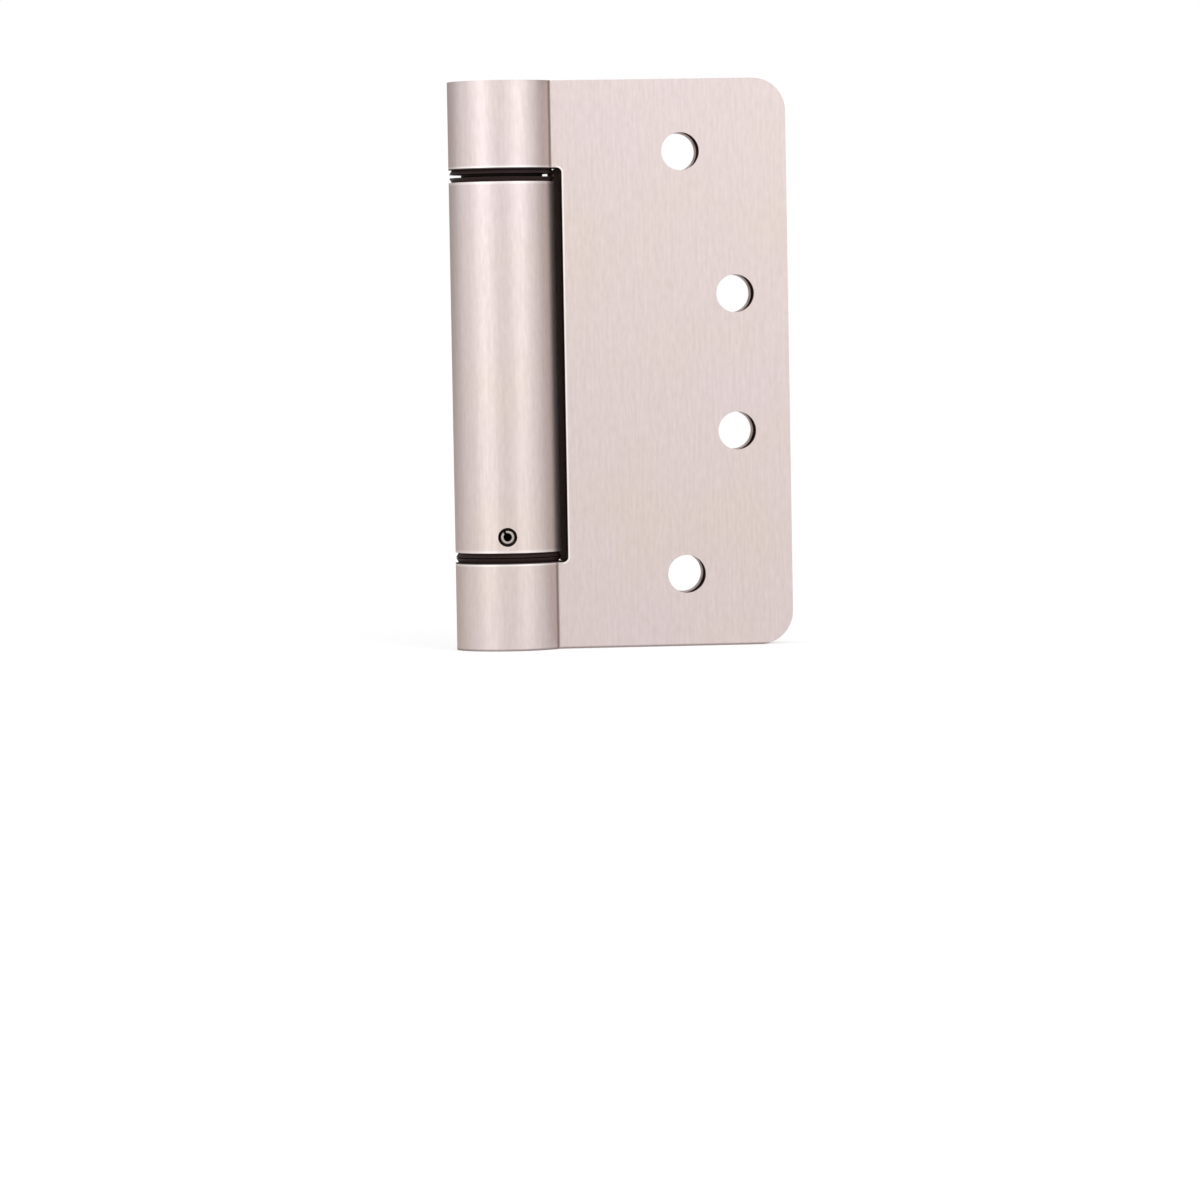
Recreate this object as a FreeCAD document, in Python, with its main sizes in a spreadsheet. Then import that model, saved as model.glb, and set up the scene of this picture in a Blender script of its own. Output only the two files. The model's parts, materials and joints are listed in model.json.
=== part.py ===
import FreeCAD
import Part
import Sketcher
import math
import os

# Spring loaded butt hinge, closed. The hinge axis is Z and the lower end of the
# barrel is at the origin. Both leaves reach towards +X. The front leaf lies on the
# -Y side and carries the two short end knuckles. The rear leaf lies on the +Y side
# and carries the long middle barrel, which holds the torsion spring.

doc = FreeCAD.newDocument("spring_hinge")

# Driving dimensions, in millimetres and degrees
DIMENSIONS = (
    ("hinge_height", 101.6, "height of a leaf and of the whole barrel"),
    ("leaf_reach", 50.8, "hinge axis to the free edge of a leaf"),
    ("leaf_thickness", 2.7, "sheet that each leaf is bent from"),
    ("leaf_gap", 3.2, "space between the closed leaves"),
    ("corner_radius", 6.0, "rounding of the free corners of a leaf"),
    ("barrel_diameter", 19.05, "outside of the knuckles and the barrel"),
    ("knuckle_height", 15.65, "each end knuckle of the front leaf"),
    ("seam_gap", 0.3, "open seam where the roll meets the plate"),
    ("crease_radius", 0.7, "bend between the knuckle and the outer face"),
    ("cutout_clearance", 0.75, "between the front leaf's cutout and the barrel"),
    ("notch_side", 0.35, "between the rear leaf's notches and the end knuckles"),
    ("cutout_corner", 0.8, "rounding in the corners of a cutout"),
    ("notch_clearance", 0.25, "rear leaf's notches reach past the inner ends of the knuckles"),
    ("facing_margin", 0.1, "facing cut on the barrel ends, past the barrel surface"),
    ("screw_hole", 6.8, "screw hole at the outer face"),
    ("countersink", 10.0, "screw countersink at the inner face"),
    ("countersink_angle", 82, "full angle of the countersink"),
    ("near_hole_inset", 9.55, "free edge to the two middle holes"),
    ("far_hole_inset", 19.05, "free edge to the two end holes"),
    ("middle_hole_spacing", 24.6, "between the two middle holes"),
    ("end_hole_spacing", 75.7, "between the two end holes"),
    ("flange_thickness", 0.85, "thrust flange of a washer or bush"),
    ("flange_inset", 0.6, "flange rim below the barrel surface, metal side"),
    ("flange_margin", 0.1, "flange rim below the barrel surface, running side"),
    ("rest_gap", 0.15, "between the flanges of the lower joint"),
    ("end_float", 0.6, "between the flanges of the upper joint"),
    ("thrust_boss", 1.075, "wall of the boss on the upper washer that takes up the float"),
    ("bush_wall", 0.6, "wall of a bush sleeve"),
    ("bush_sleeve", 8.0, "length of the sleeve in the barrel's upper end"),
    ("running_clearance", 0.05, "radial play of a turning fit"),
    ("press_clearance", 0.02, "radial play of a pressed fit"),
    ("end_recess", 0.6, "spindle ends below the ends of the knuckles"),
    ("end_chamfer", 0.7, "chamfer on the spindle ends"),
    ("seat_margin", 1.0, "upper bush sleeve to the upper spring seat"),
    ("adjuster_body", 8.5, "thick part of the adjuster, inside the barrel"),
    ("pilot_length", 7.0, "spigot of each spindle inside the spring"),
    ("hex_across_flats", 4.1, "socket in the lower end for a 4 mm key"),
    ("hex_depth", 8.0, "depth of that socket"),
    ("wire_thickness", 2.0, "spring wire, radially"),
    ("wire_width", 3.9, "spring wire, along the axis"),
    ("coil_gap", 0.4, "least space between two turns of the spring"),
    ("spring_clearance", 0.35, "spring to the barrel bore and to the pilots"),
    ("slot_clearance", 0.2, "each side of a spring leg in its slot"),
    ("pin_diameter", 2.5, "slotted tension pin"),
    ("pin_bore", 1.5, "bore of the tension pin"),
    ("pin_length", 6.0, "length of the tension pin"),
    ("pin_chamfer", 0.15, "chamfer on the ends of the tension pin"),
    ("pin_slit", 0.45, "slit along the tension pin"),
    ("pin_slit_turn", 30, "slit, degrees to the left of the top"),
    ("pin_inset", 0.25, "pin below the barrel surface"),
    ("pin_angle", 5, "pin, degrees to the left of straight forward"),
    ("pin_height", 2.85, "pin above the lower end of the barrel"),
    ("pin_window", 3.4, "hole in the barrel wall round the pin"),
    ("pin_hole_pairs", 3, "cross holes through the adjuster"),
)

dims = doc.addObject("Spreadsheet::Sheet", "Dims")
for row, (alias, number, meaning) in enumerate(DIMENSIONS, start=1):
    dims.set(f"A{row}", meaning)
    dims.set(f"B{row}", str(number))
    dims.setAlias(f"B{row}", alias)
doc.recompute()

# Sizes that follow from the driving dimensions, as expressions
HEIGHT = "Dims.hinge_height"
REACH = "Dims.leaf_reach"
KNUCKLE_TOP = "Dims.knuckle_height"
UPPER_KNUCKLE = f"({HEIGHT} - Dims.knuckle_height)"
BARREL_RADIUS = "(Dims.barrel_diameter / 2)"
BORE_RADIUS = f"({BARREL_RADIUS} - Dims.leaf_thickness)"
INNER_FACE = "(Dims.leaf_gap / 2)"
OUTER_FACE = f"({INNER_FACE} + Dims.leaf_thickness)"
SEAM_FACE = f"({INNER_FACE} - Dims.seam_gap)"
CUTOUT_EDGE = f"({BARREL_RADIUS} + Dims.cutout_clearance)"
NOTCH_EDGE = f"({BARREL_RADIUS} + Dims.notch_side)"
PAST_BARREL = "-Dims.barrel_diameter"
BARREL_BOTTOM = "(Dims.knuckle_height + 2 * Dims.flange_thickness + Dims.rest_gap)"
BARREL_TOP = f"({UPPER_KNUCKLE} - 2 * Dims.flange_thickness - Dims.end_float)"
PRESSED_RADIUS = f"({BORE_RADIUS} - Dims.press_clearance)"
SLEEVE_BORE = f"({BORE_RADIUS} - Dims.bush_wall)"
JOURNAL_RADIUS = f"({SLEEVE_BORE} - Dims.running_clearance)"
ADJUSTER_RADIUS = f"({BORE_RADIUS} - Dims.running_clearance)"
LOWER_SEAT = f"({BARREL_BOTTOM} + Dims.adjuster_body)"
UPPER_SEAT = f"({BARREL_TOP} - Dims.bush_sleeve - Dims.seat_margin)"
SPRING_OUTSIDE = f"({BORE_RADIUS} - Dims.spring_clearance)"
SPRING_INSIDE = f"({SPRING_OUTSIDE} - Dims.wire_thickness)"
PILOT_RADIUS = f"({SPRING_INSIDE} - Dims.spring_clearance)"
SPRING_MIDDLE = f"({SPRING_OUTSIDE} - Dims.wire_thickness / 2)"
LEG_END = f"sqrt({SPRING_OUTSIDE} ^ 2 - Dims.wire_thickness ^ 2)"
SPRING_ROOM = f"({UPPER_SEAT} - {LOWER_SEAT} - Dims.wire_width - 2 * Dims.running_clearance)"
SPRING_TURNS = f"floor({SPRING_ROOM} / (Dims.wire_width + Dims.coil_gap))"
SLANT_RATIO = f"({SPRING_OUTSIDE} / {SPRING_MIDDLE})"
SPRING_PITCH = f"({SPRING_ROOM} / ({SPRING_TURNS} + ({SLANT_RATIO} - 1) / 2))"
SPRING_RISE = f"({SPRING_PITCH} * {SPRING_TURNS})"
HALF_SLANT = f"({SPRING_PITCH} / 4 * {SLANT_RATIO})"
SPRING_BOTTOM = f"({LOWER_SEAT} + Dims.running_clearance + {HALF_SLANT} - {SPRING_PITCH} / 4)"
PIN_LEVEL = f"({BARREL_BOTTOM} + Dims.pin_height)"
PIN_OUTER_END = f"({BARREL_RADIUS} - Dims.pin_inset)"
PIN_INNER_END = f"({PIN_OUTER_END} - Dims.pin_length)"


def value(expression):
    """The number that an expression stands for."""
    result = dims.evalExpression(expression)
    return float(getattr(result, "Value", result))


def new_body(label):
    body = doc.addObject("PartDesign::Body", label)
    body.Label = label
    return body


def origin_item(body, role):
    """One of the planes and axes that the body is drawn on."""
    return next(item for item in body.Origin.OriginFeatures if item.Role == role)


def new_sketch(body, name, plane, offset=None, turn=None):
    """A sketch on one of the body's origin planes.

    The sketch is moved along the plane's normal by offset and turned about its own
    upright axis by turn degrees."""
    sketch = body.newObject("Sketcher::SketchObject", f"{body.Name}_{name}")
    sketch.AttachmentSupport = [(origin_item(body, plane), "")]
    sketch.MapMode = "FlatFace"
    if offset:
        sketch.setExpression("AttachmentOffset.Base.z", offset)
    if turn:
        upright = FreeCAD.Vector(0, 1, 0)
        rotation = FreeCAD.Rotation(upright, value(turn))
        sketch.AttachmentOffset = FreeCAD.Placement(FreeCAD.Vector(), rotation)
        sketch.setExpression("AttachmentOffset.Rotation.Angle", turn)
    return sketch


def bind(sketch, constraint, expression):
    """Add a dimension whose value follows an expression."""
    index = sketch.addConstraint(constraint)
    sketch.setExpression(f"Constraints[{index}]", expression)


def hold(sketch, edge, point, x, y):
    """Hold a point of an edge at the place that two expressions give."""
    for kind, axis, expression in (("DistanceX", -2, x), ("DistanceY", -1, y)):
        if expression == "0":
            sketch.addConstraint(Sketcher.Constraint("PointOnObject", edge, point, axis))
        else:
            number = value(expression)
            bind(sketch, Sketcher.Constraint(kind, edge, point, number), expression)


def add_outline(sketch, corners):
    """A closed outline of straight sides through the given corners."""
    first = sketch.GeometryCount
    count = len(corners)
    places = [FreeCAD.Vector(value(x), value(y), 0) for x, y in corners]
    for i in range(count):
        sketch.addGeometry(Part.LineSegment(places[i], places[(i + 1) % count]))
    for i in range(count):
        joined = first + (i + 1) % count
        sketch.addConstraint(Sketcher.Constraint("Coincident", first + i, 2, joined, 1))
    for i, (x, y) in enumerate(corners):
        hold(sketch, first + i, 1, x, y)


def add_circle(sketch, x, y, diameter):
    centre = FreeCAD.Vector(value(x), value(y), 0)
    upright = FreeCAD.Vector(0, 0, 1)
    index = sketch.addGeometry(Part.Circle(centre, upright, value(diameter) / 2))
    bind(sketch, Sketcher.Constraint("Diameter", index, value(diameter)), diameter)
    hold(sketch, index, 3, x, y)


def rectangle(x_low, x_high, y_low, y_high):
    return ((x_low, y_low), (x_high, y_low), (x_high, y_high), (x_low, y_high))


def pad(body, sketch, length, reverse=False):
    item = body.newObject("PartDesign::Pad", f"{sketch.Name}_pad")
    item.Profile = sketch
    item.Reversed = reverse
    item.setExpression("Length", length)
    doc.recompute()
    return item


def revolve(body, sketch):
    """Turn a sketch once round its own upright axis."""
    item = body.newObject("PartDesign::Revolution", f"{sketch.Name}_turned")
    item.Profile = sketch
    item.ReferenceAxis = (sketch, ["V_Axis"])
    item.Angle = 360
    doc.recompute()
    return item


def pocket(body, sketch, depth=None, reverse=False, both_ways=False):
    """Cut a sketch into the body, right through where no depth is given."""
    before = body.Shape.Volume
    item = body.newObject("PartDesign::Pocket", f"{sketch.Name}_cut")
    item.Profile = sketch
    item.Reversed = reverse
    if both_ways:
        item.SideType = "Symmetric"
    if depth:
        item.setExpression("Length", depth)
    else:
        item.Type = "ThroughAll"
    doc.recompute()
    if not item.Shape.Volume < before:
        raise RuntimeError(f"{item.Name} cuts nothing")
    return item


def round_edges(body, name, radius, chosen):
    """Round each edge of the body whose end points pass the test."""
    base = body.Tip
    edges = [
        f"Edge{number}"
        for number, edge in enumerate(base.Shape.Edges, start=1)
        if chosen([vertex.Point for vertex in edge.Vertexes])
    ]
    item = body.newObject("PartDesign::Fillet", f"{body.Name}_{name}")
    item.Base = (base, edges)
    item.setExpression("Radius", radius)
    doc.recompute()
    return item


def near(first, second):
    return math.isclose(first, second, abs_tol=1e-4)


def through_sheet(x, levels):
    """Test for edges that cross the sheet's thickness at x and at one of the levels."""
    def chosen(points):
        level_edge = any(all(near(point.z, level) for point in points) for level in levels)
        return level_edge and all(near(point.x, x) for point in points)
    return chosen


def along_axis(x, y):
    """Test for edges that run parallel to the hinge axis at x and y."""
    def chosen(points):
        return all(near(point.x, x) and near(point.y, y) for point in points)
    return chosen


def bent_sheet(body, side):
    """Plate and roll of a leaf, as one sheet seen along the hinge axis.

    side is -1 for the leaf on the -Y side and 1 for the leaf on the +Y side."""
    sketch = new_sketch(body, "sheet", "XY_Plane")
    reach, bore, outside = value(REACH), value(BORE_RADIUS), value(BARREL_RADIUS)
    inner, outer, seam = value(INNER_FACE), value(OUTER_FACE), value(SEAM_FACE)

    def arc(radius, plate_level, seam_level):
        plate_angle = side * math.asin(plate_level / radius)
        seam_angle = side * math.asin(seam_level / radius)
        circle = Part.Circle(FreeCAD.Vector(), FreeCAD.Vector(0, 0, 1), radius)
        low, high = (seam_angle, plate_angle) if side < 0 else (plate_angle, seam_angle)
        return Part.ArcOfCircle(circle, low, high + 2 * math.pi)

    def line(x_start, y_start, x_end, y_end):
        start = FreeCAD.Vector(x_start, side * y_start, 0)
        return Part.LineSegment(start, FreeCAD.Vector(x_end, side * y_end, 0))

    def across(radius, level):
        return math.sqrt(radius * radius - level * level)

    free_edge = sketch.addGeometry(line(reach, outer, reach, inner))
    inner_face = sketch.addGeometry(line(reach, inner, across(bore, inner), inner))
    bore_arc = sketch.addGeometry(arc(bore, inner, seam))
    seam_face = sketch.addGeometry(line(across(bore, seam), seam, across(outside, seam), seam))
    roll_arc = sketch.addGeometry(arc(outside, outer, seam))
    outer_face = sketch.addGeometry(line(across(outside, outer), outer, reach, outer))

    # An arc runs anticlockwise, so its plate end is its last point on the -Y side
    plate_end, seam_end = (2, 1) if side < 0 else (1, 2)
    for first, first_end, second, second_end in (
        (free_edge, 2, inner_face, 1),
        (inner_face, 2, bore_arc, plate_end),
        (bore_arc, seam_end, seam_face, 1),
        (seam_face, 2, roll_arc, seam_end),
        (roll_arc, plate_end, outer_face, 1),
        (outer_face, 2, free_edge, 1),
    ):
        sketch.addConstraint(Sketcher.Constraint("Coincident", first, first_end, second, second_end))
    sketch.addConstraint(Sketcher.Constraint("Vertical", free_edge))
    for edge in (inner_face, seam_face, outer_face):
        sketch.addConstraint(Sketcher.Constraint("Horizontal", edge))
    for edge, radius in ((bore_arc, BORE_RADIUS), (roll_arc, BARREL_RADIUS)):
        sketch.addConstraint(Sketcher.Constraint("Coincident", edge, 3, -1, 1))
        bind(sketch, Sketcher.Constraint("Radius", edge, value(radius)), radius)
    bind(sketch, Sketcher.Constraint("DistanceX", free_edge, 1, reach), REACH)
    for edge, level in ((inner_face, INNER_FACE), (seam_face, SEAM_FACE), (outer_face, OUTER_FACE)):
        place = f"{side} * {level}"
        bind(sketch, Sketcher.Constraint("DistanceY", edge, 1, value(place)), place)
    return pad(body, sketch, HEIGHT)


def screw_holes(body, side):
    """Four screw holes in a leaf, countersunk from its inner face."""
    sketch = new_sketch(body, "screws", "XZ_Plane", offset=f"{-side} * {INNER_FACE}")
    for inset, spacing in (
        ("Dims.near_hole_inset", "Dims.middle_hole_spacing"),
        ("Dims.far_hole_inset", "Dims.end_hole_spacing"),
    ):
        for sign in (-1, 1):
            level = f"{HEIGHT} / 2 + {sign} * {spacing} / 2"
            add_circle(sketch, f"{REACH} - {inset}", level, "Dims.screw_hole")
    doc.recompute()
    before = body.Shape.Volume
    item = body.newObject("PartDesign::Hole", f"{body.Name}_countersinks")
    item.Profile = sketch
    item.Reversed = side < 0
    item.DepthType = "ThroughAll"
    item.HoleCutType = "Countersink"
    item.HoleCutCustomValues = True
    item.setExpression("Diameter", "Dims.screw_hole")
    item.setExpression("HoleCutDiameter", "Dims.countersink")
    item.setExpression("HoleCutCountersinkAngle", "Dims.countersink_angle")
    doc.recompute()
    if not item.Shape.Volume < before:
        raise RuntimeError(f"{item.Name} cuts nothing")


def leaf(label, side, cutouts, edge):
    """One leaf, with cutouts that clear the other leaf's roll.

    Each cutout is a pair of levels, and edge is how far they all reach from the axis."""
    body = new_body(label)
    bent_sheet(body, side)

    sketch = new_sketch(body, "cutouts", "XZ_Plane")
    for low, high in cutouts:
        add_outline(sketch, rectangle(PAST_BARREL, edge, low, high))
    pocket(body, sketch, both_ways=True)

    high_end = value(HEIGHT)
    levels = [value(level) for pair in cutouts for level in pair]
    corners = through_sheet(value(edge), [level for level in levels if 0 < level < high_end])
    round_edges(body, "cutout_corners", "Dims.cutout_corner", corners)
    corners = through_sheet(value(REACH), (0, high_end))
    round_edges(body, "free_corners", "Dims.corner_radius", corners)
    crease = math.sqrt(value(BARREL_RADIUS) ** 2 - value(OUTER_FACE) ** 2)
    round_edges(body, "creases", "Dims.crease_radius", along_axis(crease, side * value(OUTER_FACE)))
    screw_holes(body, side)
    return body


def turned(label, corners):
    """A round piece on the hinge axis, from its half section in radius and height."""
    body = new_body(label)
    sketch = new_sketch(body, "section", "XZ_Plane")
    add_outline(sketch, corners)
    revolve(body, sketch)
    return body


def upper_spindle():
    """Plug pressed into the upper knuckle, which holds the upper end of the spring."""
    end = f"{HEIGHT} - Dims.end_recess"
    tip = f"{UPPER_SEAT} - Dims.pilot_length"
    body = turned("upper_spindle", (
        ("0", tip),
        (f"{PILOT_RADIUS} - Dims.end_chamfer", tip),
        (PILOT_RADIUS, f"{tip} + Dims.end_chamfer"),
        (PILOT_RADIUS, UPPER_SEAT),
        (JOURNAL_RADIUS, UPPER_SEAT),
        (JOURNAL_RADIUS, UPPER_KNUCKLE),
        (PRESSED_RADIUS, UPPER_KNUCKLE),
        (PRESSED_RADIUS, f"{end} - Dims.end_chamfer"),
        (f"{PRESSED_RADIUS} - Dims.end_chamfer", end),
        ("0", end),
    ))
    slot = new_sketch(body, "leg_slot", "XY_Plane", offset=UPPER_SEAT)
    far_side = "Dims.wire_thickness + Dims.slot_clearance"
    add_outline(slot, rectangle(PAST_BARREL, BARREL_RADIUS, "-Dims.slot_clearance", far_side))
    pocket(body, slot)
    return body


def adjuster():
    """Spindle that winds the lower end of the spring and is locked by the tension pin."""
    end = "Dims.end_recess"
    tip = f"{LOWER_SEAT} + Dims.pilot_length"
    shoulder = f"{BARREL_BOTTOM} + Dims.rest_gap"
    body = turned("adjuster", (
        ("0", end),
        (f"{JOURNAL_RADIUS} - Dims.end_chamfer", end),
        (JOURNAL_RADIUS, f"{end} + Dims.end_chamfer"),
        (JOURNAL_RADIUS, shoulder),
        (ADJUSTER_RADIUS, shoulder),
        (ADJUSTER_RADIUS, LOWER_SEAT),
        (PILOT_RADIUS, LOWER_SEAT),
        (PILOT_RADIUS, f"{tip} - Dims.end_chamfer"),
        (f"{PILOT_RADIUS} - Dims.end_chamfer", tip),
        ("0", tip),
    ))
    slot = new_sketch(body, "leg_slot", "XY_Plane", offset=LOWER_SEAT)
    near_side = "-Dims.wire_thickness - Dims.slot_clearance"
    add_outline(slot, rectangle(PAST_BARREL, BARREL_RADIUS, near_side, "Dims.slot_clearance"))
    pocket(body, slot, reverse=True)

    socket = new_sketch(body, "key_socket", "XY_Plane", offset=end)
    half_side = "Dims.hex_across_flats / sqrt(3) / 2"
    half_flats = "Dims.hex_across_flats / 2"
    add_outline(socket, (
        (f"2 * {half_side}", "0"),
        (half_side, half_flats),
        (f"-{half_side}", half_flats),
        (f"-2 * {half_side}", "0"),
        (f"-{half_side}", f"-{half_flats}"),
        (half_side, f"-{half_flats}"),
    ))
    pocket(body, socket, depth="Dims.hex_depth", reverse=True)

    cross_hole = new_sketch(body, "pin_hole", "XZ_Plane", turn="-Dims.pin_angle")
    add_circle(cross_hole, "0", PIN_LEVEL, "Dims.pin_diameter + 2 * Dims.running_clearance")
    drilled = pocket(body, cross_hole, both_ways=True)
    ring = body.newObject("PartDesign::PolarPattern", "adjuster_pin_holes")
    ring.Originals = [drilled]
    ring.Axis = (origin_item(body, "Z_Axis"), [""])
    ring.setExpression("Occurrences", "Dims.pin_hole_pairs")
    ring.setExpression("Angle", "180 deg * (1 - 1 / Dims.pin_hole_pairs)")
    body.Tip = ring
    doc.recompute()
    return body


def flange_section(metal_side, running_side, bore):
    """Flange of a washer or bush, wider on the side that runs on its neighbour."""
    return (
        (bore, metal_side),
        (f"{BARREL_RADIUS} - Dims.flange_inset", metal_side),
        (f"{BARREL_RADIUS} - Dims.flange_margin", running_side),
        (bore, running_side),
    )


def washer(label, metal_side, running_side):
    return turned(label, flange_section(metal_side, running_side, SLEEVE_BORE))


def bossed_washer(label, metal_side, running_side, boss_end):
    """Washer with a boss that reaches towards the flange it runs on."""
    section = flange_section(metal_side, running_side, SLEEVE_BORE)
    boss = f"{SLEEVE_BORE} + Dims.thrust_boss"
    return turned(label, section[:3] + ((boss, running_side), (boss, boss_end), (SLEEVE_BORE, boss_end)))


def bush(label, metal_side, running_side, sleeve_end):
    """Flange with a sleeve that is pressed into the roll behind it."""
    sleeve = ((SLEEVE_BORE, sleeve_end), (PRESSED_RADIUS, sleeve_end), (PRESSED_RADIUS, metal_side))
    return turned(label, sleeve + flange_section(metal_side, running_side, SLEEVE_BORE)[1:])


def torsion_spring():
    """Flat wire torsion spring with a straight leg across each end.

    Each turn is two half turns of the wire that slant upwards, one behind the hinge
    axis and one in front of it."""
    body = new_body("torsion_spring")
    halves = []
    for name, quarters, low_side, behind in (("rear_half", 1, 1, True), ("front_half", 3, -1, False)):
        middle = f"{SPRING_BOTTOM} + {quarters} * {SPRING_PITCH} / 4"
        low, high = f"{middle} - {HALF_SLANT}", f"{middle} + {HALF_SLANT}"
        low_end, high_end = f"{low_side} * {SPRING_OUTSIDE}", f"{-low_side} * {SPRING_OUTSIDE}"
        half = new_sketch(body, name, "XZ_Plane")
        add_outline(half, (
            (low_end, low),
            (high_end, high),
            (high_end, f"{high} + Dims.wire_width"),
            (low_end, f"{low} + Dims.wire_width"),
        ))
        halves.append(pad(body, half, SPRING_OUTSIDE, behind))
    coil = body.newObject("PartDesign::LinearPattern", "torsion_spring_turns")
    coil.Originals = halves
    coil.Direction = (origin_item(body, "Z_Axis"), [""])
    coil.setExpression("Occurrences", SPRING_TURNS)
    coil.setExpression("Length", f"{SPRING_RISE} - {SPRING_PITCH}")
    body.Tip = coil
    doc.recompute()

    # The wire is what is left between its inner and its outer radius
    rings = new_sketch(body, "waste", "XY_Plane")
    for radius in (SPRING_INSIDE, SPRING_OUTSIDE, f"2 * {SPRING_OUTSIDE}"):
        add_circle(rings, "0", "0", f"2 * {radius}")
    pocket(body, rings, both_ways=True)

    upper_end = f"{SPRING_BOTTOM} + {SPRING_RISE}"
    for name, low, behind in (("lower_leg", SPRING_BOTTOM, False), ("upper_leg", upper_end, True)):
        leg = new_sketch(body, name, "XZ_Plane")
        add_outline(leg, rectangle("0", LEG_END, low, f"{low} + Dims.wire_width"))
        pad(body, leg, "Dims.wire_thickness", behind)
    return body


def tension_pin():
    """Slotted spring pin through the barrel wall into the adjuster."""
    body = new_body("tension_pin")
    section = new_sketch(body, "section", "XY_Plane")
    bore = "Dims.pin_bore / 2"
    outside = "Dims.pin_diameter / 2"
    end_face = f"{outside} - Dims.pin_chamfer"
    add_outline(section, (
        (bore, f"-{PIN_OUTER_END}"),
        (end_face, f"-{PIN_OUTER_END}"),
        (outside, f"-{PIN_OUTER_END} + Dims.pin_chamfer"),
        (outside, f"-{PIN_INNER_END} - Dims.pin_chamfer"),
        (end_face, f"-{PIN_INNER_END}"),
        (bore, f"-{PIN_INNER_END}"),
    ))
    revolve(body, section)
    slit = new_sketch(body, "slit", "XY_Plane", turn="-Dims.pin_slit_turn")
    half = "Dims.pin_slit / 2"
    add_outline(slit, rectangle(f"-{half}", half, f"-{BARREL_RADIUS}", "0"))
    pocket(body, slit, reverse=True)
    body.setExpression("Placement.Base.z", PIN_LEVEL)
    body.Placement.Rotation = FreeCAD.Rotation(FreeCAD.Vector(0, 0, 1), -value("Dims.pin_angle"))
    body.setExpression("Placement.Rotation.Angle", "-Dims.pin_angle")
    doc.recompute()
    return body


front_leaf = leaf("front_leaf", -1, ((KNUCKLE_TOP, UPPER_KNUCKLE),), CUTOUT_EDGE)
rear_leaf = leaf("rear_leaf", 1, (
    ("-Dims.knuckle_height", f"{KNUCKLE_TOP} + Dims.notch_clearance"),
    (f"{UPPER_KNUCKLE} - Dims.notch_clearance", f"{HEIGHT} + Dims.knuckle_height"),
), NOTCH_EDGE)
for name, level, upwards in (("lower_facing", BARREL_BOTTOM, False), ("upper_facing", BARREL_TOP, True)):
    facing = new_sketch(rear_leaf, name, "XY_Plane", offset=level)
    add_circle(facing, "0", "0", f"2 * ({BARREL_RADIUS} + Dims.facing_margin)")
    pocket(rear_leaf, facing, reverse=upwards)
window = new_sketch(rear_leaf, "pin_window", "XZ_Plane", turn="-Dims.pin_angle")
add_circle(window, "0", PIN_LEVEL, "Dims.pin_window")
pocket(rear_leaf, window, reverse=True)

FLANGE = "Dims.flange_thickness"
BOSS_END = f"{BARREL_TOP} + {FLANGE} + Dims.rest_gap"
sub_parts = [
    front_leaf,
    rear_leaf,
    upper_spindle(),
    adjuster(),
    torsion_spring(),
    tension_pin(),
    bossed_washer("upper_knuckle_washer", UPPER_KNUCKLE, f"{UPPER_KNUCKLE} - {FLANGE}", BOSS_END),
    bush("barrel_bush", BARREL_TOP, f"{BARREL_TOP} + {FLANGE}", f"{BARREL_TOP} - Dims.bush_sleeve"),
    washer("barrel_washer", BARREL_BOTTOM, f"{BARREL_BOTTOM} - {FLANGE}"),
    bush("lower_knuckle_bush", KNUCKLE_TOP, f"{KNUCKLE_TOP} + {FLANGE}", "Dims.end_recess"),
]

doc.recompute()
for item in doc.Objects:
    if "Invalid" in item.State or "Error" in item.State:
        raise RuntimeError(f"{item.Name} could not be built")
os.makedirs("parts", exist_ok=True)
for body in sub_parts:
    if body.Shape.isNull() or not body.Shape.isValid():
        raise RuntimeError(f"{body.Label} has no valid shape")
for body in sub_parts:
    body.Shape.exportStep(f"parts/{body.Label}.step")
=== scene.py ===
import bmesh
import bpy
import json
import math
from mathutils import Euler, Matrix, Vector


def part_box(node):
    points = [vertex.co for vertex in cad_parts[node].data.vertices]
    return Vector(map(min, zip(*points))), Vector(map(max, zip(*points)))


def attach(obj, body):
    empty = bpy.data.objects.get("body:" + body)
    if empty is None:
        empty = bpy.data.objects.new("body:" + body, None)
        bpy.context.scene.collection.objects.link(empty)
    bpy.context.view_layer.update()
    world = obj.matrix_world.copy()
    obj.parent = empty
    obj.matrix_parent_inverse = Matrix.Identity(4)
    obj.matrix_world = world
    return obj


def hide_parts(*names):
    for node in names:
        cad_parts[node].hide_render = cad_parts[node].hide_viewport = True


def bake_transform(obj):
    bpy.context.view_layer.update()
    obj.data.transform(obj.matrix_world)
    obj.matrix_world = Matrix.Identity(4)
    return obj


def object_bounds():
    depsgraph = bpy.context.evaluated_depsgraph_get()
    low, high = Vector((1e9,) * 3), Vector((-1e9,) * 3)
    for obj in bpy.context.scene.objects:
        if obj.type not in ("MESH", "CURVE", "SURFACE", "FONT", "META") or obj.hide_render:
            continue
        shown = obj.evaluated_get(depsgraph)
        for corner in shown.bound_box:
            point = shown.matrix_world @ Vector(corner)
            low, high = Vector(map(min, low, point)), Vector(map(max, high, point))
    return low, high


# A spring loaded door hinge in satin nickel. The hinge axis is Z, the leaves reach
# towards +X and the camera looks along +Y. All lengths are metres.

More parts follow.
